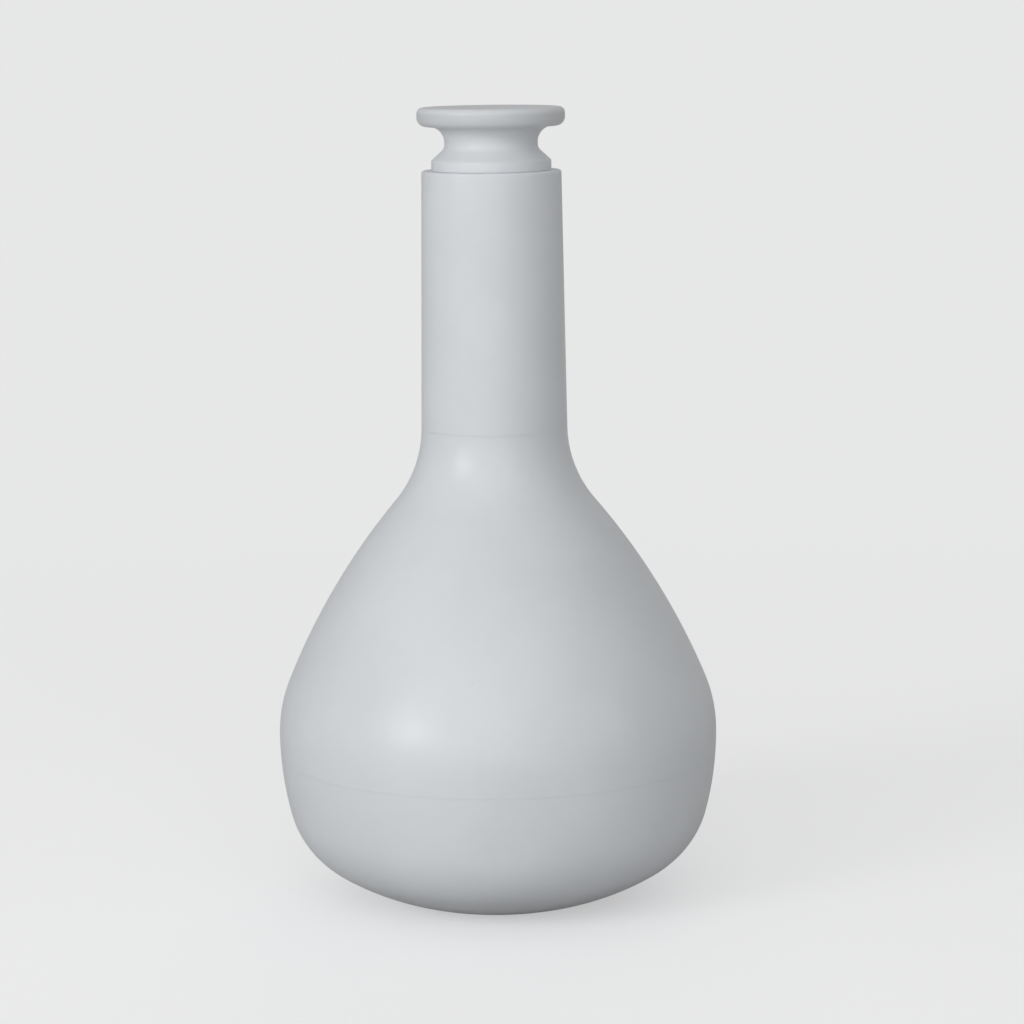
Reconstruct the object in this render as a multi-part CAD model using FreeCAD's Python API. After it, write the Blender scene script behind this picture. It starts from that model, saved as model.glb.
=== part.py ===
import FreeCAD, Part
import math
import os

# A volumetric flask turned from solid white fluoropolymer: a bowl, a shoulder and a neck that are
# screwed together for good, and a solid stopper with a tapered plug.
# Millimetres and degrees, +Z up, origin in the middle of the plane that the foot stands on.

# Outside of the bulb, from its widest girth down to the foot
bulb_diameter = 64.0
side_radius = 47.3
side_angle = 14.2
corner_radius = 13.5
corner_angle = 57.6
base_radius = 37.8
foot_diameter = 27.0
recess_diameter = 19.0
recess_depth = 0.6

# Outside of the bulb, from its widest girth up to the neck
belly_radius = 20.0
belly_angle = 22.3
shoulder_radius = 99.6
neck_fillet = 17.0

# Inside of the bulb, with a thicker belt of wall behind the girth for the screw joint
bulb_wall = 2.6
belt_wall = 4.5
shoulder_inside_radius = 72.0
bore_entry_radius = 2.0

# Neck, with a 1 in 10 taper socket for the stopper and a fine ring inside that marks the fill
neck_bore = 12.2
neck_base_wall = 4.47
neck_length = 37.1
socket_length = 23.0
taper_ratio = 10.0
rim_width = 2.78
rim_rounding = 0.35
mouth_chamfer = 0.35
mark_height = 9.0
mark_width = 0.4
mark_depth = 0.2

# Screw joints at the two seams
bulb_seam_drop = 2.9
bulb_spigot_wall = 2.1
bulb_thread_pitch = 2.0
neck_spigot_wall = 2.1
neck_thread_pitch = 1.5
thread_turns = 2.5
thread_start = 37.0
thread_depth = 0.5
thread_crest = 0.4
thread_flank = 20.0
thread_bite = 0.1
thread_clearance = 0.1
seam_break = 0.12

# Stopper
plug_length = 20.0
plug_clearance = 0.05
plug_chamfer = 0.8
collar_overhang = 1.35
collar_height = 1.3
collar_rounding = 0.3
flare_angle = 48.0
groove_depth = 1.91
groove_radius = 1.3
grip_length = 0.25
flange_fillet = 2.3
flange_overhang = 3.92
flange_thickness = 2.7
flange_lower_rounding = 1.25
flange_upper_rounding = 0.85

axis_foot = FreeCAD.Vector(0, 0, 0)
axis_up = FreeCAD.Vector(0, 0, 1)


def sine(angle):
    return math.sin(math.radians(angle))


def cosine(angle):
    return math.cos(math.radians(angle))


def tangent(angle):
    return math.tan(math.radians(angle))


# A point at radius r and height z, in the plane that every outline is drawn in
def at(r, z):
    return FreeCAD.Vector(r, 0, z)


# The point on a circle at an angle up from level; a minus radius gives the side that faces the axis
def on_circle(centre, radius, angle):
    return centre + at(radius * cosine(angle), radius * sine(angle))


def arc(centre, radius, start, end):
    angles = (start, (start + end) / 2, end)
    return Part.Arc(*[on_circle(centre, radius, angle) for angle in angles]).toShape()


# Straight edges through the points in turn
def run(*points):
    return [Part.LineSegment(start, end).toShape() for start, end in zip(points, points[1:])]


# A closed outline turned once around the flask's axis
def turned(edges):
    return Part.Face(Part.Wire(edges)).revolve(axis_foot, axis_up, 360)


def ring(inner, outer, bottom, top):
    start = at(inner, bottom)
    return turned(run(start, at(outer, bottom), at(outer, top), at(inner, top), start))


def rod(radius, bottom, top):
    return Part.makeCylinder(radius, top - bottom, at(0, bottom), axis_up)


# Radii that the pieces share
bulb_r = bulb_diameter / 2
foot_r = foot_diameter / 2
belt_r = bulb_r - belt_wall
bore_r = neck_bore / 2
neck_base_r = bore_r + neck_base_wall
mouth_r = bore_r + socket_length / taper_ratio / 2
rim_r = mouth_r + rim_width

# Tangent arcs below the girth, placed from the girth down and then lifted to stand on the foot
side_centre = at(bulb_r - side_radius, 0)
corner_centre = on_circle(side_centre, side_radius - corner_radius, -side_angle)
base_centre = on_circle(corner_centre, corner_radius - base_radius, -corner_angle)
foot_angle = math.degrees(math.acos((foot_r - base_centre.x) / base_radius))
girth_height = base_radius * sine(foot_angle) - base_centre.z
for centre in (side_centre, corner_centre, base_centre):
    centre.z += girth_height

# Tangent arcs above the girth, up to where the fillet runs into the neck's slight taper
belly_centre = at(bulb_r - belly_radius, girth_height)
shoulder_centre = on_circle(belly_centre, belly_radius - shoulder_radius, belly_angle)
neck_slope = math.degrees(math.atan2(neck_base_r - rim_r, neck_length))
fillet_centre_r = neck_base_r + neck_fillet * cosine(neck_slope)
fillet_reach = shoulder_radius + neck_fillet
shoulder_angle = math.degrees(math.acos((fillet_centre_r - shoulder_centre.x) / fillet_reach))
fillet_centre = on_circle(shoulder_centre, fillet_reach, shoulder_angle)

# Heights of the seams and the rim
bulb_seam = girth_height - bulb_seam_drop
neck_seam = fillet_centre.z - neck_fillet * sine(neck_slope)
rim_height = neck_seam + neck_length


# The outside of bowl, shoulder and neck in one, with the foot's shallow recess
def flask_outside():
    recess_r = recess_diameter / 2
    rim_centre_r = rim_r - rim_rounding * (1 - sine(neck_slope)) / cosine(neck_slope)
    rim_centre = at(rim_centre_r, rim_height - rim_rounding)
    edges = run(at(0, recess_depth), at(recess_r, recess_depth), at(recess_r, 0), at(foot_r, 0))
    edges.append(arc(base_centre, base_radius, -foot_angle, -corner_angle))
    edges.append(arc(corner_centre, corner_radius, -corner_angle, -side_angle))
    edges.append(arc(side_centre, side_radius, -side_angle, 0))
    edges.append(arc(belly_centre, belly_radius, 0, belly_angle))
    edges.append(arc(shoulder_centre, shoulder_radius, belly_angle, shoulder_angle))
    edges.append(arc(fillet_centre, -neck_fillet, shoulder_angle, neck_slope))
    edges += run(at(neck_base_r, neck_seam), on_circle(rim_centre, rim_rounding, neck_slope))
    edges.append(arc(rim_centre, rim_rounding, neck_slope, 90))
    edges += run(at(rim_centre_r, rim_height), at(0, rim_height), at(0, recess_depth))
    return turned(edges)


# The space inside the bulb, up to where the neck's bore begins
def bulb_space():
    inner_belly = belly_radius - bulb_wall
    inner_base = base_radius - bulb_wall
    dome_centre = on_circle(belly_centre, inner_belly - shoulder_inside_radius, belly_angle)
    entry_reach = shoulder_inside_radius + bore_entry_radius
    entry_angle = math.degrees(math.acos((bore_r + bore_entry_radius - dome_centre.x) / entry_reach))
    entry_centre = on_circle(dome_centre, entry_reach, entry_angle)
    floor_edge = on_circle(base_centre, inner_base, -foot_angle)
    floor_middle = at(0, floor_edge.z)
    edges = run(floor_middle, floor_edge)
    edges.append(arc(base_centre, inner_base, -foot_angle, -corner_angle))
    edges.append(arc(corner_centre, corner_radius - bulb_wall, -corner_angle, -side_angle))
    edges.append(arc(side_centre, side_radius - bulb_wall, -side_angle, 0))
    edges.append(arc(belly_centre, inner_belly, 0, belly_angle))
    edges.append(arc(dome_centre, shoulder_inside_radius, belly_angle, entry_angle))
    edges.append(arc(entry_centre, -bore_entry_radius, entry_angle, 0))
    edges += run(at(bore_r, entry_centre.z), at(0, entry_centre.z), floor_middle)
    return turned(edges).common(rod(belt_r, 0, rim_height))


# The bore of the neck, the taper socket, its chamfered mouth and the fill mark
def neck_space():
    socket_foot = rim_height - socket_length
    mark = neck_seam + mark_height
    bore = rod(bore_r, girth_height, socket_foot)
    socket = Part.makeCone(bore_r, mouth_r, socket_length, at(0, socket_foot))
    chamfer_foot = at(0, rim_height - mouth_chamfer)
    chamfer = Part.makeCone(mouth_r, mouth_r + mouth_chamfer, mouth_chamfer, chamfer_foot)
    mark_groove = rod(bore_r + mark_depth, mark - mark_width / 2, mark + mark_width / 2)
    return bore.fuse([socket, chamfer, mark_groove])


# A helical thread that stands out from a round wall and climbs from its first turn's height
def helical_thread(radius, first_turn, pitch, turns, clearance):
    crest = thread_crest / 2 + clearance
    root = crest + (thread_depth + thread_bite) * tangent(thread_flank)
    inside = radius - thread_bite
    outside = radius + thread_depth
    start = at(inside, -root)
    section = Part.Wire(run(start, at(outside, -crest), at(outside, crest), at(inside, root), start))
    path = Part.Wire(Part.makeHelix(pitch, pitch * turns, radius).Edges)
    thread = path.makePipeShell([section], True, True)
    thread.rotate(axis_foot, axis_up, thread_start)
    thread.translate(at(0, first_turn))
    return thread


# A screw joint below a seam: the spigot with its thread, and the groove and hole that take it
def screw_joint(seam, inner_r, wall, pitch):
    spigot_r = inner_r + wall
    hole_r = spigot_r + thread_clearance
    foot = seam - (thread_turns + 1) * pitch
    first_turn = foot + pitch / 2
    spigot = ring(inner_r, spigot_r, foot, seam)
    thread = helical_thread(spigot_r, first_turn, pitch, thread_turns, 0)
    groove = helical_thread(hole_r, first_turn, pitch, thread_turns + 1, thread_clearance)
    hole = rod(hole_r, foot - thread_clearance, seam)
    return spigot.fuse(thread), groove, hole


# The hairline at a seam, where each of the two turned edges is broken
def seam_line(radius, seam):
    start = at(radius - seam_break, seam)
    outside = radius + seam_break
    width = seam_break * 2
    return turned(run(start, at(outside, seam - width), at(outside, seam + width), start))


# The stopper, from the plug's foot up: collar on the rim, flare, grip groove and flange
def stopper():
    plug_r = mouth_r - plug_clearance
    plug_foot = at(0, rim_height - plug_length)
    plug_foot_r = plug_r - plug_length / taper_ratio / 2
    chamfer_r = plug_foot_r + plug_chamfer / taper_ratio / 2
    collar_r = mouth_r + collar_overhang
    grip_r = collar_r - groove_depth
    flange_r = grip_r + flange_overhang
    rounds = collar_rounding + groove_radius
    flare = (groove_depth - rounds * (1 - cosine(flare_angle))) / sine(flare_angle)
    collar_centre = at(collar_r - collar_rounding, rim_height + collar_height)
    grip_foot = collar_centre.z + rounds * sine(flare_angle) + flare * cosine(flare_angle)
    groove_centre = at(grip_r + groove_radius, grip_foot)
    fillet_centre = at(grip_r + flange_fillet, grip_foot + grip_length)
    underside = fillet_centre.z + flange_fillet
    top = underside + flange_thickness
    lower_edge = at(flange_r - flange_lower_rounding, underside + flange_lower_rounding)
    upper_edge = at(flange_r - flange_upper_rounding, top - flange_upper_rounding)
    edges = run(plug_foot, at(plug_foot_r - plug_chamfer, plug_foot.z), at(chamfer_r, plug_foot.z + plug_chamfer),
                at(plug_r, rim_height), at(collar_r, rim_height), at(collar_r, collar_centre.z))
    edges.append(arc(collar_centre, collar_rounding, 0, flare_angle))
    edges += run(on_circle(collar_centre, collar_rounding, flare_angle),
                 on_circle(groove_centre, -groove_radius, flare_angle))
    edges.append(arc(groove_centre, -groove_radius, flare_angle, 0))
    edges += run(at(grip_r, grip_foot), at(grip_r, fillet_centre.z))
    edges.append(arc(fillet_centre, -flange_fillet, 0, -90))
    edges += run(at(fillet_centre.x, underside), at(lower_edge.x, underside))
    edges.append(arc(lower_edge, flange_lower_rounding, -90, 0))
    edges += run(at(flange_r, lower_edge.z), at(flange_r, upper_edge.z))
    edges.append(arc(upper_edge, flange_upper_rounding, 0, 90))
    edges += run(at(upper_edge.x, top), at(0, top), plug_foot)
    return turned(edges)


# The hollow flask with its seam lines, which the three body pieces are parted from
inside = bulb_space().fuse(neck_space())
bulb_seam_r = side_centre.x + math.sqrt(side_radius ** 2 - bulb_seam_drop ** 2)
seam_lines = seam_line(bulb_seam_r, bulb_seam).fuse(seam_line(neck_base_r, neck_seam))
flask = flask_outside().cut(inside).cut(seam_lines)
bulb_spigot, bulb_groove, bulb_hole = screw_joint(bulb_seam, belt_r, bulb_spigot_wall, bulb_thread_pitch)
neck_spigot, neck_groove, neck_hole = screw_joint(neck_seam, bore_r, neck_spigot_wall, neck_thread_pitch)


# The stretch of the hollow flask between two heights
def stretch(bottom, top):
    return flask.common(rod(bulb_diameter, bottom, top))


pieces = {
    "lower_bulb": stretch(0, bulb_seam).cut(bulb_groove).cut(bulb_hole),
    "upper_bulb": stretch(bulb_seam, neck_seam).cut(neck_groove).cut(neck_hole).fuse(bulb_spigot),
    "neck_tube": stretch(neck_seam, rim_height).fuse(neck_spigot),
    "stopper": stopper(),
}

os.makedirs("parts", exist_ok=True)
for node, shape in pieces.items():
    solid = shape.removeSplitter()
    solid.exportStep("parts/" + node + ".step")
    print(node, "solids", len(solid.Solids), "valid", solid.isValid(), "volume", round(solid.Volume))

contents = inside.common(rod(bulb_diameter, 0, neck_seam + mark_height))
print("girth", round(girth_height, 2), "neck seam", round(neck_seam, 2), "rim", round(rim_height, 2))
print("millilitres to the mark", round(contents.Volume / 1000, 1))
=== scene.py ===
import bpy
import bmesh
import math
from mathutils import Matrix, Vector


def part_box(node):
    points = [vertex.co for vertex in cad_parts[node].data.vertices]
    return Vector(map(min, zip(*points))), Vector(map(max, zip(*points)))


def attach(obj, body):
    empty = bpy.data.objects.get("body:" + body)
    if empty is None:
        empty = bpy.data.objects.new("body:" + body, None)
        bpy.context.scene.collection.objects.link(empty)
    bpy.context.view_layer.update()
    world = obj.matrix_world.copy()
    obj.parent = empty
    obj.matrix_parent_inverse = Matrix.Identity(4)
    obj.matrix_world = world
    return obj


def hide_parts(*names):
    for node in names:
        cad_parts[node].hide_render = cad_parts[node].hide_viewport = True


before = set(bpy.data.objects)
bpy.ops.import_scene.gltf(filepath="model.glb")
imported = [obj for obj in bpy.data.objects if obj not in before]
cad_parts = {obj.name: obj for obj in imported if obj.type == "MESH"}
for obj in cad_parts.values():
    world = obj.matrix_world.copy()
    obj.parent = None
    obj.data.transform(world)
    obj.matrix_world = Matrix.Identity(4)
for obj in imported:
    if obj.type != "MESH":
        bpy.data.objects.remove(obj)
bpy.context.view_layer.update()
print("frame loaded with", len(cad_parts), "solids")

mm = 0.001
scene = bpy.context.scene
scene.view_settings.view_transform = "Standard"

lathe = {
    "slices": 16,  # a turned piece is one wedge, repeated round the axis
    "sliceSteps": 15,  # facets in each wedge
    "weld": 0.002,  # mm within which the wedges' edges are merged
    "spacing": 0.5,  # mm between the points of a round stretch
    "fineSpacing": 0.06,  # the same on small roundings
    "leastSteps": 4,
    "sharpAngle": 24,  # degrees, past which an edge shades crisp
    "turnStart": 0.001,  # radians before the first facet, from where the facets are counted
}

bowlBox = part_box("lower_bulb")
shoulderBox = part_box("upper_bulb")
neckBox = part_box("neck_tube")
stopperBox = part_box("stopper")

# heights and radii that the pieces share, in millimetres, read from the solids
shared = {
    "bulbSeam": bowlBox[1].z / mm,
    "neckSeam": shoulderBox[1].z / mm,
    "rim": neckBox[1].z / mm,
    "girthRadius": shoulderBox[1].x / mm,
    "boreRadius": 6.1,
    "mouthRadius": 7.25,
    "taper": 20.0,  # mm of length for each mm of radius, in the socket and on the plug
    "rimRadius": 10.03,
    "seamBreak": 0.008,  # depth of the V where two pieces meet
    "seamGap": 0.001,  # half the daylight between them
}


def sine(degrees):
    return math.sin(math.radians(degrees))


def cosine(degrees):
    return math.cos(math.radians(degrees))


def point(r, z):
    return Vector((r, 0, z))


def onCircle(centre, radius, degrees):  # degrees up from level
    return centre + point(radius * cosine(degrees), radius * sine(degrees))


def penDown(start):  # a new outline, drawn in the plane y = 0
    bm = bmesh.new()
    bm.verts.layers.float.new("turnPath")
    tip = bm.verts.new(start * mm)
    return bm, tip


def runTo(bm, tip, *stops):  # straight stretches from stop to stop
    for stop in stops:
        way = stop * mm - tip.co
        steps = math.ceil(way.length / mm / lathe["spacing"])
        for step in range(steps):
            tip = bmesh.ops.extrude_vert_indiv(bm, verts=[tip])["verts"][0]
            bmesh.ops.translate(bm, verts=[tip], vec=way / steps)
    return tip


def swing(bm, tip, centre, degrees, spacing=lathe["spacing"]):  # a round stretch, anticlockwise if positive
    reach = (tip.co / mm - centre).length * math.radians(abs(degrees))
    steps = max(lathe["leastSteps"], math.ceil(reach / spacing))
    swung = bmesh.ops.spin(bm, geom=[tip], cent=centre * mm, axis=(0, -1, 0),
                           angle=math.radians(degrees), steps=steps)
    return [part for part in swung["geom_last"] if isinstance(part, bmesh.types.BMVert)][0]


def latheOrder(corners, path):  # a number for each place on a piece, so that every run lists it alike
    along = sum(corner[path] for corner in corners) / len(corners)
    middle = sum((corner.co for corner in corners), Vector())
    turn = (math.atan2(middle.y, middle.x) + lathe["turnStart"]) % math.tau
    return round(along / lathe["weld"]) + turn / math.tau


def turnOnLathe(name, bm, tip, body, node):  # the outline turned once round the flask's axis
    path = bm.verts.layers.float["turnPath"]
    length, last = 0.0, None
    while tip:  # walk back along the outline, noting how far the tool has gone
        tip[path] = length
        ahead = [e for e in tip.link_edges if e.other_vert(tip) is not last]
        last, tip = tip, ahead[0].other_vert(tip) if ahead else None
        if tip:
            length += (tip.co - last.co).length / mm
    slices = lathe["slices"]
    wedgeAngle = math.tau / slices
    outline = bm.verts[:] + bm.edges[:]
    bmesh.ops.spin(bm, geom=outline, cent=(0, 0, 0), axis=(0, 0, 1), angle=wedgeAngle,
                   steps=lathe["sliceSteps"])
    wedge = bm.verts[:] + bm.edges[:] + bm.faces[:]
    bmesh.ops.spin(bm, geom=wedge, cent=(0, 0, 0), axis=(0, 0, 1), angle=math.tau - wedgeAngle,
                   steps=slices - 1, use_duplicate=True)  # far quicker than one full turn in fine steps
    bmesh.ops.remove_doubles(bm, verts=bm.verts, dist=lathe["weld"] * mm)
    bmesh.ops.recalc_face_normals(bm, faces=bm.faces)
    bm.verts.sort(key=lambda corner: latheOrder([corner], path))
    bm.faces.sort(key=lambda face: latheOrder(face.verts, path))
    mesh = bpy.data.meshes.new(name)
    bm.to_mesh(mesh)
    bm.free()
    mesh.shade_smooth()
    mesh.set_sharp_from_angle(angle=math.radians(lathe["sharpAngle"]))
    piece = bpy.data.objects.new(name, mesh)
    scene.collection.objects.link(piece)
    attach(piece, body)
    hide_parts(node)
    print(name, "turned,", len(mesh.polygons), "faces")
    return piece


# the bulb's outside is a chain of tangent arcs, placed from its girth
bulb = {
    "seamDrop": 2.9,  # from the girth down to the bulb's seam
    "sideRadius": 47.3,
    "sideAngle": 14.2,
    "cornerRadius": 13.5,
    "cornerAngle": 57.6,
    "baseRadius": 37.8,
    "bellyRadius": 20.0,
    "bellyAngle": 22.3,
    "shoulderRadius": 99.6,
    "neckFillet": 17.0,
    "wall": 2.6,
    "beltRadius": 27.5,  # the straight bore behind the girth
    "spigotRadius": 29.6,
    "spigotFit": 0.1,
    "spigotLength": 7.0,
}
girth = shared["bulbSeam"] + bulb["seamDrop"]
sideCentre = point(shared["girthRadius"] - bulb["sideRadius"], girth)
cornerCentre = onCircle(sideCentre, bulb["sideRadius"] - bulb["cornerRadius"], -bulb["sideAngle"])
baseCentre = onCircle(cornerCentre, bulb["cornerRadius"] - bulb["baseRadius"], -bulb["cornerAngle"])
bellyCentre = point(shared["girthRadius"] - bulb["bellyRadius"], girth)
shoulderCentre = onCircle(bellyCentre, bulb["bellyRadius"] - bulb["shoulderRadius"], bulb["bellyAngle"])
seamAngle = math.degrees(math.asin(bulb["seamDrop"] / bulb["sideRadius"]))
seamRadius = onCircle(sideCentre, bulb["sideRadius"], -seamAngle).x


bowl = {
    "recessRadius": 9.5,
    "recessDepth": 0.6,
    "footBreak": 0.25,  # rounding of the foot ring's edges
}


def makeBowl():
    seam = shared["bulbSeam"] - shared["seamGap"]
    breakDepth = shared["seamBreak"]
    foot = bowl["footBreak"]
    innerCorner = bulb["cornerRadius"] - bulb["wall"]
    innerBase = bulb["baseRadius"] - bulb["wall"]
    footAngle = math.degrees(math.asin(baseCentre.z / bulb["baseRadius"]))
    holeRadius = bulb["spigotRadius"] + bulb["spigotFit"]
    holeFoot = seam - bulb["spigotLength"] - bulb["spigotFit"]
    beltAngle = math.degrees(math.acos((bulb["beltRadius"] - cornerCentre.x) / innerCorner))
    breakAngle = math.degrees(breakDepth / bulb["sideRadius"])
    recessEdge = point(bowl["recessRadius"] + foot, foot)
    bm, tip = penDown(point(0, bowl["recessDepth"]))
    tip = runTo(bm, tip, point(bowl["recessRadius"], bowl["recessDepth"]), point(bowl["recessRadius"], foot))
    tip = swing(bm, tip, recessEdge, 90, lathe["fineSpacing"])
    tip = runTo(bm, tip, onCircle(baseCentre, bulb["baseRadius"], -footAngle))
    tip = swing(bm, tip, baseCentre, footAngle - bulb["cornerAngle"])
    tip = swing(bm, tip, cornerCentre, bulb["cornerAngle"] - bulb["sideAngle"])
    tip = swing(bm, tip, sideCentre, bulb["sideAngle"] - seamAngle - breakAngle)
    tip = runTo(bm, tip, point(seamRadius - breakDepth, seam), point(holeRadius, seam))
    tip = runTo(bm, tip, point(holeRadius, holeFoot), point(bulb["beltRadius"], holeFoot))
    tip = runTo(bm, tip, onCircle(cornerCentre, innerCorner, -beltAngle))
    tip = swing(bm, tip, cornerCentre, beltAngle - bulb["cornerAngle"])
    tip = swing(bm, tip, baseCentre, bulb["cornerAngle"] - footAngle)
    tip = runTo(bm, tip, point(0, tip.co.z / mm))
    return turnOnLathe("bowl_shell", bm, tip, "flask", "lower_bulb")


shoulder = {
    "insideRadius": 72.0,
    "entryRadius": 2.0,  # where the inside runs into the bore
    "entrySpacing": 0.18,
    "socketRadius": 8.3,  # the hole that takes the neck's spigot
    "socketDepth": 5.35,
}


def makeShoulder():
    bottom = shared["bulbSeam"] + shared["seamGap"]
    top = shared["neckSeam"] - shared["seamGap"]
    neckRadius = neckBox[1].x / mm
    neckSlope = math.degrees(math.atan2(neckRadius - shared["rimRadius"], shared["rim"] - shared["neckSeam"]))
    breakDepth = shared["seamBreak"]
    breakAngle = math.degrees(breakDepth / bulb["sideRadius"])
    filletBreak = math.degrees(breakDepth / bulb["neckFillet"])
    fillet = point(neckRadius + bulb["neckFillet"] * cosine(neckSlope), 0)
    filletReach = bulb["shoulderRadius"] + bulb["neckFillet"]
    shoulderAngle = math.degrees(math.acos((fillet.x - shoulderCentre.x) / filletReach))
    fillet = onCircle(shoulderCentre, filletReach, shoulderAngle)
    bore = shared["boreRadius"]
    innerBelly = bulb["bellyRadius"] - bulb["wall"]
    dome = onCircle(bellyCentre, innerBelly - shoulder["insideRadius"], bulb["bellyAngle"])
    entryReach = shoulder["insideRadius"] + shoulder["entryRadius"]
    entryAngle = math.degrees(math.acos((bore + shoulder["entryRadius"] - dome.x) / entryReach))
    entry = onCircle(dome, entryReach, entryAngle)
    beltAngle = math.degrees(math.acos((bulb["beltRadius"] - dome.x) / shoulder["insideRadius"]))
    socketFoot = top - shoulder["socketDepth"]
    spigotFoot = bottom - bulb["spigotLength"]
    bm, tip = penDown(point(bulb["spigotRadius"], bottom))
    tip = runTo(bm, tip, point(seamRadius - breakDepth, bottom),
                onCircle(sideCentre, bulb["sideRadius"], breakAngle - seamAngle))
    tip = swing(bm, tip, sideCentre, seamAngle - breakAngle)
    tip = swing(bm, tip, bellyCentre, bulb["bellyAngle"])
    tip = swing(bm, tip, shoulderCentre, shoulderAngle - bulb["bellyAngle"])
    tip = swing(bm, tip, fillet, neckSlope - shoulderAngle + filletBreak)
    tip = runTo(bm, tip, point(neckRadius - breakDepth, top), point(shoulder["socketRadius"], top))
    tip = runTo(bm, tip, point(shoulder["socketRadius"], socketFoot), point(bore, socketFoot))
    tip = runTo(bm, tip, point(bore, entry.z))
    tip = swing(bm, tip, entry, entryAngle, shoulder["entrySpacing"])
    tip = swing(bm, tip, dome, beltAngle - entryAngle)
    tip = runTo(bm, tip, point(bulb["beltRadius"], spigotFoot), point(bulb["spigotRadius"], spigotFoot))
    tip = runTo(bm, tip, point(bulb["spigotRadius"], bottom))
    return turnOnLathe("shoulder_shell", bm, tip, "flask", "upper_bulb")


neck = {
    "rimRounding": 0.35,
    "mouthChamfer": 0.35,
    "socketLength": 23.0,  # the taper that takes the stopper's plug
    "markHeight": 9.0,  # the ring inside that marks the fill
    "markWidth": 0.4,
    "markDepth": 0.2,
    "spigotRadius": 8.2,
    "spigotLength": 5.25,
}


def makeNeck():
    bottom = shared["neckSeam"] + shared["seamGap"]
    rim = shared["rim"]
    baseRadius = neckBox[1].x / mm
    breakDepth = shared["seamBreak"]
    slope = math.degrees(math.atan2(baseRadius - shared["rimRadius"], rim - shared["neckSeam"]))
    rounding = neck["rimRounding"]
    rimCentre = point(shared["rimRadius"] - rounding * (1 - sine(slope)) / cosine(slope), rim - rounding)
    mouth, bore = shared["mouthRadius"], shared["boreRadius"]
    chamfer = neck["mouthChamfer"]
    mark = shared["neckSeam"] + neck["markHeight"]
    markHalf = neck["markWidth"] / 2
    markRadius = bore + neck["markDepth"]
    spigotFoot = bottom - neck["spigotLength"]
    bm, tip = penDown(point(neck["spigotRadius"], bottom))
    tip = runTo(bm, tip, point(baseRadius - breakDepth, bottom), point(baseRadius, bottom + breakDepth))
    tip = runTo(bm, tip, onCircle(rimCentre, rounding, slope))
    tip = swing(bm, tip, rimCentre, 90 - slope, lathe["fineSpacing"])
    tip = runTo(bm, tip, point(mouth + chamfer, rim), point(mouth - chamfer / shared["taper"], rim - chamfer))
    tip = runTo(bm, tip, point(bore, rim - neck["socketLength"]), point(bore, mark + markHalf))
    tip = runTo(bm, tip, point(markRadius, mark + markHalf), point(markRadius, mark - markHalf))
    tip = runTo(bm, tip, point(bore, mark - markHalf), point(bore, spigotFoot))
    tip = runTo(bm, tip, point(neck["spigotRadius"], spigotFoot), point(neck["spigotRadius"], bottom))
    return turnOnLathe("neck_sleeve", bm, tip, "flask", "neck_tube")


stopper = {
    "plugClearance": 0.05,
    "plugChamfer": 0.8,
    "collarRadius": 8.6,
    "collarHeight": 1.3,
    "collarRounding": 0.3,
    "collarBreak": 0.1,  # the eased edge that meets the rim
    "collarSpacing": 0.02,  # mm between the points of that edge
    "flareAngle": 48.0,
    "grooveRadius": 1.3,
    "gripRadius": 6.69,
    "gripLength": 0.25,
    "flangeFillet": 2.3,
    "flangeThickness": 2.7,
    "flangeLowerRounding": 1.25,
    "flangeUpperRounding": 0.85,
}


def makeStopper():
    rim = shared["rim"] + shared["seamGap"]
    foot, top = stopperBox[0].z / mm, stopperBox[1].z / mm
    flangeRadius = stopperBox[1].x / mm
    plugRadius = shared["mouthRadius"] - stopper["plugClearance"]
    plugFoot = plugRadius - (shared["rim"] - foot) / shared["taper"]
    chamfer = stopper["plugChamfer"]
    collar, eased = stopper["collarRadius"], stopper["collarBreak"]
    flare = stopper["flareAngle"]
    collarCentre = point(collar - stopper["collarRounding"], shared["rim"] + stopper["collarHeight"])
    underside = top - stopper["flangeThickness"]
    filletCentre = point(stopper["gripRadius"] + stopper["flangeFillet"], underside - stopper["flangeFillet"])
    gripFoot = filletCentre.z - stopper["gripLength"]
    grooveCentre = point(stopper["gripRadius"] + stopper["grooveRadius"], gripFoot)
    lowerRounding, upperRounding = stopper["flangeLowerRounding"], stopper["flangeUpperRounding"]
    lowerEdge = point(flangeRadius - lowerRounding, underside + lowerRounding)
    upperEdge = point(flangeRadius - upperRounding, top - upperRounding)
    fine = lathe["fineSpacing"]
    bm, tip = penDown(point(0, foot))
    tip = runTo(bm, tip, point(plugFoot - chamfer, foot))
    tip = runTo(bm, tip, point(plugFoot + chamfer / shared["taper"], foot + chamfer))
    tip = runTo(bm, tip, point(plugRadius, rim), point(collar - eased, rim))
    tip = swing(bm, tip, point(collar - eased, rim + eased), 90, stopper["collarSpacing"])
    tip = runTo(bm, tip, point(collar, collarCentre.z))
    tip = swing(bm, tip, collarCentre, flare, fine)
    tip = runTo(bm, tip, onCircle(grooveCentre, -stopper["grooveRadius"], flare))
    tip = swing(bm, tip, grooveCentre, -flare, fine)
    tip = runTo(bm, tip, point(stopper["gripRadius"], filletCentre.z))
    tip = swing(bm, tip, filletCentre, -90, fine)
    tip = runTo(bm, tip, point(lowerEdge.x, underside))
    tip = swing(bm, tip, lowerEdge, 90, fine)
    tip = runTo(bm, tip, point(flangeRadius, upperEdge.z))
    tip = swing(bm, tip, upperEdge, 90, fine)
    tip = runTo(bm, tip, point(0, top))
    return turnOnLathe("stopper_turned", bm, tip, "stopper", "stopper")


pieces = [makeBowl(), makeShoulder(), makeNeck(), makeStopper()]
print("pieces made:", len(pieces))


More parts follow.
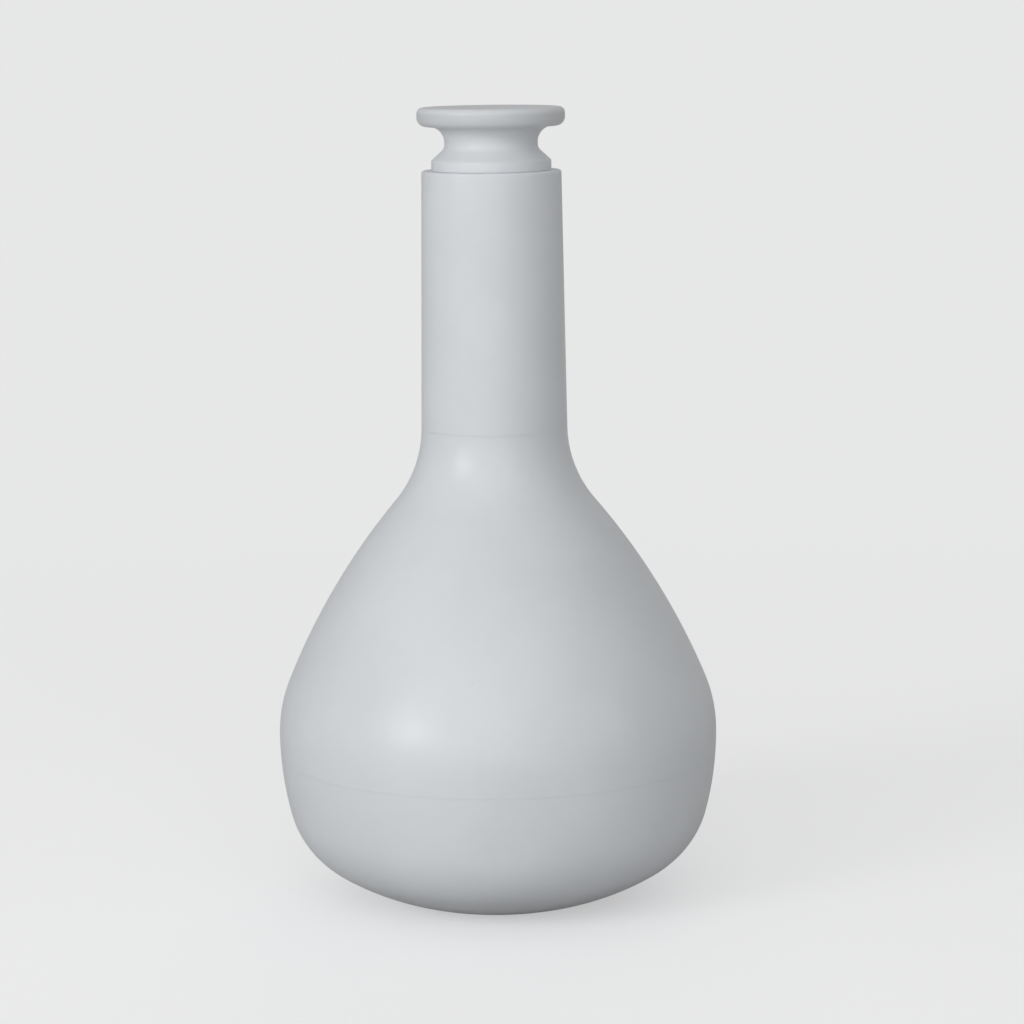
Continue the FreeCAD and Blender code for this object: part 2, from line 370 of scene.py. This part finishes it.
def newGroup(name, inputs, outputs):
    group = bpy.data.node_groups.new(name, "ShaderNodeTree")
    for socket, kind in inputs.items():
        group.interface.new_socket(socket, in_out="INPUT", socket_type="NodeSocket" + kind)
    for socket, kind in outputs.items():
        group.interface.new_socket(socket, in_out="OUTPUT", socket_type="NodeSocket" + kind)
    return group, group.links, group.nodes.new("NodeGroupInput"), group.nodes.new("NodeGroupOutput")


def maths(tree, operation, first, second, clamp=False):  # each side is a socket or a number
    node = tree.nodes.new("ShaderNodeMath")
    node.operation = operation
    node.use_clamp = clamp
    for slot, value in enumerate((first, second)):
        if isinstance(value, (int, float)):
            node.inputs[slot].default_value = value
        else:
            tree.links.new(value, node.inputs[slot])
    return node.outputs["Value"]


def remap(tree, value, low, high, toLow, toHigh):
    node = tree.nodes.new("ShaderNodeMapRange")
    node.interpolation_type = "SMOOTHSTEP"
    for socket, number in zip(("From Min", "From Max", "To Min", "To Max"), (low, high, toLow, toHigh)):
        node.inputs[socket].default_value = number
    tree.links.new(value, node.inputs["Value"])
    return node.outputs["Result"]


def noise(tree, place, scale, detail):
    node = tree.nodes.new("ShaderNodeTexNoise")
    node.inputs["Scale"].default_value = scale
    node.inputs["Detail"].default_value = detail
    tree.links.new(place, node.inputs["Vector"])
    return node.outputs["Fac"]


def tint(tree, amount, under, over):  # a colour, or what is under it, covered with another by the amount
    node = tree.nodes.new("ShaderNodeMix")
    node.data_type = "RGBA"
    tree.links.new(amount, node.inputs["Factor"])
    for socket, colour in zip(("A", "B"), (under, over)):
        target = [s for s in node.inputs if s.name == socket and s.type == "RGBA"][0]
        if isinstance(colour, tuple):
            target.default_value = colour
        else:
            tree.links.new(colour, target)
    return [s for s in node.outputs if s.type == "RGBA"][0]


# marks left by the lathe's tool: rings along the outline, clearer in some patches than in others
markLook = {
    "ringDetail": 1.5,
    "waveScale": 0.3,  # slow waves for each mm along the outline
    "waveHeight": 2.5,  # against the rings' height
    "patchScale": 45,
    "patchRange": (0.36, 0.66),
    "faintest": 0.25,  # what is left of the rings between the patches
    "sheen": 0.07,
}


def makeTurningMarks():
    group, links, inlet, outlet = newGroup("turning_marks",
                                           {"Path": "Float", "Place": "Vector", "Feed": "Float"},
                                           {"Height": "Float", "Sheen": "Float"})
    rings = group.nodes.new("ShaderNodeTexNoise")
    rings.noise_dimensions = "1D"
    rings.inputs["Scale"].default_value = 1
    rings.inputs["Detail"].default_value = markLook["ringDetail"]
    feed = maths(group, "DIVIDE", inlet.outputs["Path"], inlet.outputs["Feed"])
    links.new(feed, rings.inputs["W"])
    waves = group.nodes.new("ShaderNodeTexNoise")
    waves.noise_dimensions = "1D"
    waves.inputs["Scale"].default_value = markLook["waveScale"]
    links.new(inlet.outputs["Path"], waves.inputs["W"])
    patches = noise(group, inlet.outputs["Place"], markLook["patchScale"], 2)
    clear = remap(group, patches, *markLook["patchRange"], markLook["faintest"], 1)
    ringHeight = maths(group, "MULTIPLY", rings.outputs["Fac"], clear)
    waveHeight = maths(group, "MULTIPLY", waves.outputs["Fac"], markLook["waveHeight"])
    links.new(maths(group, "ADD", ringHeight, waveHeight), outlet.inputs["Height"])
    links.new(maths(group, "MULTIPLY", ringHeight, markLook["sheen"]), outlet.inputs["Sheen"])
    return group


# what hands and benches leave: cloudy tone, tiny specks and short scuffs
wearLook = {
    "cloudScale": 70,
    "speckScale": 330,
    "speckRange": (0.015, 0.05),  # from the middle of a speck to its edge
    "speckRarity": (0.45, 0.9),
    "scuffScale": 900,
    "scuffStretch": (0.22, 0.22, 2.6),  # long round the piece and thin up it
    "scuffLean": (0.12, -0.2, 0),
    "scuffRange": (0.66, 0.74),
    "scuffPatchScale": 55,
    "scuffPatchRange": (0.52, 0.7),
}


def makeHandling():
    group, links, inlet, outlet = newGroup("handling", {"Place": "Vector"},
                                           {"Cloud": "Float", "Specks": "Float", "Scuffs": "Float"})
    place = inlet.outputs["Place"]
    links.new(noise(group, place, wearLook["cloudScale"], 4), outlet.inputs["Cloud"])
    cells = group.nodes.new("ShaderNodeTexVoronoi")
    cells.inputs["Scale"].default_value = wearLook["speckScale"]
    links.new(place, cells.inputs["Vector"])
    dots = remap(group, cells.outputs["Distance"], *wearLook["speckRange"], 1, 0)
    rarity = group.nodes.new("ShaderNodeSeparateColor")
    links.new(cells.outputs["Color"], rarity.inputs["Color"])
    chosen = remap(group, rarity.outputs["Red"], *wearLook["speckRarity"], 0, 1)
    links.new(maths(group, "MULTIPLY", dots, chosen), outlet.inputs["Specks"])
    stretched = group.nodes.new("ShaderNodeMapping")
    stretched.inputs["Scale"].default_value = wearLook["scuffStretch"]
    stretched.inputs["Rotation"].default_value = wearLook["scuffLean"]
    links.new(place, stretched.inputs["Vector"])
    streaks = noise(group, stretched.outputs["Vector"], wearLook["scuffScale"], 2)
    lines = remap(group, streaks, *wearLook["scuffRange"], 0, 1)
    patches = noise(group, place, wearLook["scuffPatchScale"], 1)
    where = remap(group, patches, *wearLook["scuffPatchRange"], 0, 1)
    links.new(maths(group, "MULTIPLY", lines, where), outlet.inputs["Scuffs"])
    return group


# darkening along a seam: fine dust, and painted shade where the pieces meet, in some places more than in
# others and fullest on the left
dustAndShadeLook = {
    "patchScale": 140,
    "patchRange": (0.42, 0.7),
    "thinnest": 0.2,
    "leftFadeRange": (-0.028, 0.012),  # metres along X, over which the darkening falls from full on the left to less on the right
    "rightShare": 0.25,
}


def makeSeamDustAndShade():
    group, links, inlet, outlet = newGroup("seam_dust_and_shade",
                                           {"Place": "Vector", "Height": "Float", "Reach": "Float"},
                                           {"DustAndShade": "Float"})
    parts = group.nodes.new("ShaderNodeSeparateXYZ")
    links.new(inlet.outputs["Place"], parts.inputs["Vector"])
    away = maths(group, "ABSOLUTE", maths(group, "SUBTRACT", parts.outputs["Z"], inlet.outputs["Height"]), 0)
    near = maths(group, "SUBTRACT", 1, maths(group, "DIVIDE", away, inlet.outputs["Reach"]), True)
    patches = noise(group, inlet.outputs["Place"], dustAndShadeLook["patchScale"], 2)
    patchy = remap(group, patches, *dustAndShadeLook["patchRange"], dustAndShadeLook["thinnest"], 1)
    leftFade = remap(group, parts.outputs["X"], *dustAndShadeLook["leftFadeRange"], 1, dustAndShadeLook["rightShare"])
    dustAndShade = maths(group, "MULTIPLY", near, patchy)
    links.new(maths(group, "MULTIPLY", dustAndShade, leftFade), outlet.inputs["DustAndShade"])
    return group


turningMarks = makeTurningMarks()
handling = makeHandling()
seamDustAndShade = makeSeamDustAndShade()

bodyFinish = {
    "colour": (0.712, 0.735, 0.757, 1),
    "cloudColour": (0.655, 0.677, 0.7, 1),
    "speckColour": (0.25, 0.24, 0.22, 1),
    "scuffColour": (0.8, 0.81, 0.815, 1),
    "dustAndShadeColour": (0.3, 0.3, 0.29, 1),
    "cloudAmount": 0.5,
    "cloudRange": (0.35, 0.7),
    "cloudSheen": 0.6,  # how much of the cloud goes into the sheen
    "sheenRange": (0.05, 0.75),
    "speckAmount": 0.22,
    "scuffAmount": 0.07,
    "feed": 0.4,  # mm along the outline from mark to mark
    "seams": ("bulbSeam", "neckSeam"),
    "dustAndShadeReach": 0.12,
    "dustAndShadeAmount": 0.14,
    "roughness": (0.28, 0.37),
    "markDepth": 0.0004,  # mm
    "ior": 1.37,
    "glow": 0.12,  # share of the light that goes in and comes out again
    "glowDepth": 0.8,  # mm
    "paintedShadeAmount": 0,  # only the stopper's flange has this painted shade
}
stopperFinish = dict(bodyFinish, colour=(0.718, 0.74, 0.76, 1), cloudColour=(0.665, 0.685, 0.705, 1),
                     # on the stopper, the rim's seam darkening is painted shade where the collar sits on the
                     # neck, with some dust
                     feed=0.25, seams=("rim",), dustAndShadeReach=0.1, dustAndShadeAmount=0.1, roughness=(0.28, 0.36),
                     # painted shade on the flange's edge, darkest round its middle
                     paintedShadeColour=(0.34, 0.35, 0.36, 1), paintedShadeAmount=0.3, paintedShadeReach=1.5,
                     paintedShadeHeight=stopperBox[1].z / mm - stopper["flangeThickness"] / 2)


def layPaintedShade(tree, place, colour, look):  # painted shade: the flange's edge darkened in a band round its middle
    height = tree.nodes.new("ShaderNodeSeparateXYZ")
    tree.links.new(place, height.inputs["Vector"])
    away = maths(tree, "ABSOLUTE", maths(tree, "SUBTRACT", height.outputs["Z"], look["paintedShadeHeight"] * mm), 0)
    paintedShade = remap(tree, away, 0, look["paintedShadeReach"] * mm, look["paintedShadeAmount"], 0)
    return tint(tree, paintedShade, colour, look["paintedShadeColour"])


def turnedWhite(name, look):
    material = bpy.data.materials.new(name)
    material.use_nodes = True
    tree = material.node_tree
    shader = tree.nodes["Principled BSDF"]
    shader.inputs["IOR"].default_value = look["ior"]
    shader.inputs["Subsurface Weight"].default_value = look["glow"]
    shader.inputs["Subsurface Radius"].default_value = (1, 1, 1)
    shader.inputs["Subsurface Scale"].default_value = look["glowDepth"] * mm
    place = tree.nodes.new("ShaderNodeTexCoord").outputs["Object"]
    path = tree.nodes.new("ShaderNodeAttribute")
    path.attribute_name = "turnPath"
    marks = tree.nodes.new("ShaderNodeGroup")
    marks.node_tree = turningMarks
    marks.inputs["Feed"].default_value = look["feed"]
    tree.links.new(path.outputs["Fac"], marks.inputs["Path"])
    tree.links.new(place, marks.inputs["Place"])
    wear = tree.nodes.new("ShaderNodeGroup")
    wear.node_tree = handling
    tree.links.new(place, wear.inputs["Place"])
    cloud = remap(tree, wear.outputs["Cloud"], *look["cloudRange"], 0, look["cloudAmount"])
    colour = tint(tree, cloud, look["colour"], look["cloudColour"])
    scuffs = maths(tree, "MULTIPLY", wear.outputs["Scuffs"], look["scuffAmount"])
    colour = tint(tree, scuffs, colour, look["scuffColour"])
    specks = maths(tree, "MULTIPLY", wear.outputs["Specks"], look["speckAmount"])
    colour = tint(tree, specks, colour, look["speckColour"])
    # each seam darkened with dust and painted shade
    for seam in look["seams"]:
        dustAndShade = tree.nodes.new("ShaderNodeGroup")
        dustAndShade.node_tree = seamDustAndShade
        dustAndShade.inputs["Height"].default_value = shared[seam] * mm
        dustAndShade.inputs["Reach"].default_value = look["dustAndShadeReach"] * mm
        tree.links.new(place, dustAndShade.inputs["Place"])
        dustAndShadeShare = maths(tree, "MULTIPLY", dustAndShade.outputs["DustAndShade"], look["dustAndShadeAmount"])
        colour = tint(tree, dustAndShadeShare, colour, look["dustAndShadeColour"])
    # painted shade darkens the flange's edge
    if look["paintedShadeAmount"]:
        colour = layPaintedShade(tree, place, colour, look)
    tree.links.new(colour, shader.inputs["Base Color"])
    cloudSheen = maths(tree, "MULTIPLY", wear.outputs["Cloud"], look["cloudSheen"])
    sheen = maths(tree, "ADD", cloudSheen, marks.outputs["Sheen"])
    tree.links.new(remap(tree, sheen, *look["sheenRange"], *look["roughness"]), shader.inputs["Roughness"])
    bump = tree.nodes.new("ShaderNodeBump")
    bump.inputs["Strength"].default_value = 1
    bump.inputs["Distance"].default_value = look["markDepth"] * mm
    tree.links.new(marks.outputs["Height"], bump.inputs["Height"])
    tree.links.new(bump.outputs["Normal"], shader.inputs["Normal"])
    return material


bodyWhite = turnedWhite("turned_body_white", bodyFinish)
stopperWhite = turnedWhite("turned_stopper_white", stopperFinish)
for piece in pieces:
    piece.data.materials.append(stopperWhite if piece.name == "stopper_turned" else bodyWhite)
print("finishes laid on")

floorLook = {
    "halfSize": 6.0,
    "roughness": 0.9,
    "colour": (0.52, 0.52, 0.52, 1),
    "lift": (0.46, 0.462, 0.466, 1),  # paleness that only the camera sees, added to the lit floor
    "pale": (0.8, 0.802, 0.806, 1),  # what the camera sees away from the object
    "glossyShare": 0.12,  # how much of it the satin polymer mirrors
    "shadowNear": 0.12,  # the shadow shows in full to here
    "shadowFar": 0.5,  # and has faded out here
}


def makeFloor():
    bm = bmesh.new()
    bmesh.ops.create_grid(bm, x_segments=1, y_segments=1, size=floorLook["halfSize"])
    mesh = bpy.data.meshes.new("studio_floor")
    bm.to_mesh(mesh)
    bm.free()
    floor = bpy.data.objects.new("studio_floor", mesh)
    scene.collection.objects.link(floor)
    mesh.materials.append(paleFloor())
    return floor


def seesPale(tree):  # the camera and clear pieces see the paleness in full, mirrored rays a share of it
    rays = tree.nodes.new("ShaderNodeLightPath")
    faint = maths(tree, "MULTIPLY", rays.outputs["Is Glossy Ray"], floorLook["glossyShare"])
    seen = maths(tree, "ADD", rays.outputs["Is Camera Ray"], faint, True)
    return maths(tree, "ADD", seen, rays.outputs["Is Transmission Ray"], True)


def paleFloor():
    material = bpy.data.materials.new("floor_pale")
    material.use_nodes = True
    tree = material.node_tree
    matt = tree.nodes["Principled BSDF"]
    matt.inputs["Base Color"].default_value = floorLook["colour"]
    matt.inputs["Roughness"].default_value = floorLook["roughness"]
    pale = tree.nodes.new("ShaderNodeEmission")
    pale.inputs["Color"].default_value = floorLook["pale"]
    place = tree.nodes.new("ShaderNodeTexCoord").outputs["Object"]
    reach = tree.nodes.new("ShaderNodeVectorMath")
    reach.operation = "LENGTH"
    tree.links.new(place, reach.inputs[0])
    faded = remap(tree, reach.outputs["Value"], floorLook["shadowNear"], floorLook["shadowFar"], 0, 1)
    seen = seesPale(tree)
    lift = tree.nodes.new("ShaderNodeEmission")
    lift.inputs["Color"].default_value = floorLook["lift"]
    tree.links.new(seen, lift.inputs["Strength"])
    lifted = tree.nodes.new("ShaderNodeAddShader")
    tree.links.new(matt.outputs[0], lifted.inputs[0])
    tree.links.new(lift.outputs[0], lifted.inputs[1])
    surface = tree.nodes.new("ShaderNodeMixShader")
    tree.links.new(maths(tree, "MULTIPLY", faded, seen), surface.inputs[0])
    tree.links.new(lifted.outputs[0], surface.inputs[1])
    tree.links.new(pale.outputs[0], surface.inputs[2])
    clear = tree.nodes.new("ShaderNodeBsdfTransparent")
    twoSided = tree.nodes.new("ShaderNodeMixShader")  # from below, the floor isn't there
    tree.links.new(tree.nodes.new("ShaderNodeNewGeometry").outputs["Backfacing"], twoSided.inputs[0])
    tree.links.new(surface.outputs[0], twoSided.inputs[1])
    tree.links.new(clear.outputs[0], twoSided.inputs[2])
    tree.links.new(twoSided.outputs[0], tree.nodes["Material Output"].inputs["Surface"])
    return material


makeFloor()

studio = {
    "room": (0.383, 0.384, 0.386, 1),  # light from all round
    "target": (0, 0, 0.055),
    "distance": 1.0,
    "lamps": {  # bearings to the camera's right and heights, in degrees
        "window": {"bearing": -49, "height": 18, "size": (0.36, 0.34), "watts": 2.7, "mirrored": True},
        "frontBox": {"bearing": -6, "height": 20.5, "size": (1.2, 0.9), "watts": 4.2, "mirrored": True},
        "backFill": {"bearing": 170, "height": 14, "size": (0.9, 0.7), "watts": 2.4, "mirrored": False},
    },
}


def makeLamp(name, look):
    data = bpy.data.lights.new(name, "AREA")
    data.shape = "RECTANGLE"
    data.size, data.size_y = look["size"]
    data.energy = look["watts"]
    lamp = bpy.data.objects.new(name, data)
    scene.collection.objects.link(lamp)
    level = cosine(look["height"])
    away = Vector((sine(look["bearing"]) * level, -cosine(look["bearing"]) * level, sine(look["height"])))
    lamp.location = Vector(studio["target"]) + away * studio["distance"]
    lamp.rotation_euler = away.to_track_quat("Z", "Y").to_euler()
    lamp.visible_camera = False
    lamp.visible_glossy = look["mirrored"]
    return lamp


def makeRoom():
    world = bpy.data.worlds.new("studio")
    world.use_nodes = True
    tree = world.node_tree
    room = tree.nodes["Background"]
    room.inputs["Color"].default_value = studio["room"]
    wall = tree.nodes.new("ShaderNodeBackground")
    wall.inputs["Color"].default_value = floorLook["pale"]
    mixed = tree.nodes.new("ShaderNodeMixShader")
    tree.links.new(seesPale(tree), mixed.inputs[0])
    tree.links.new(room.outputs[0], mixed.inputs[1])
    tree.links.new(wall.outputs[0], mixed.inputs[2])
    tree.links.new(mixed.outputs[0], tree.nodes["World Output"].inputs["Surface"])
    scene.world = world


makeRoom()
for name, look in studio["lamps"].items():
    makeLamp(name, look)

camLook = {
    "place": (0.0024, -0.4696, 0.1299),
    "pitch": 8.87,  # degrees down
    "roll": -0.65,
    "lens": 114.83,
    "sensor": 36,
    "nearest": 0.01,
}
camData = bpy.data.cameras.new("photo_view")
camData.lens = camLook["lens"]
camData.sensor_width = camLook["sensor"]
camData.clip_start = camLook["nearest"]
camera = bpy.data.objects.new("photo_view", camData)
scene.collection.objects.link(camera)
camera.location = camLook["place"]
pitched = Matrix.Rotation(math.radians(90 - camLook["pitch"]), 3, "X")
rolled = Matrix.Rotation(math.radians(camLook["roll"]), 3, "Z")
camera.rotation_euler = (pitched @ rolled).to_euler()
scene.camera = camera
print("camera and light set")
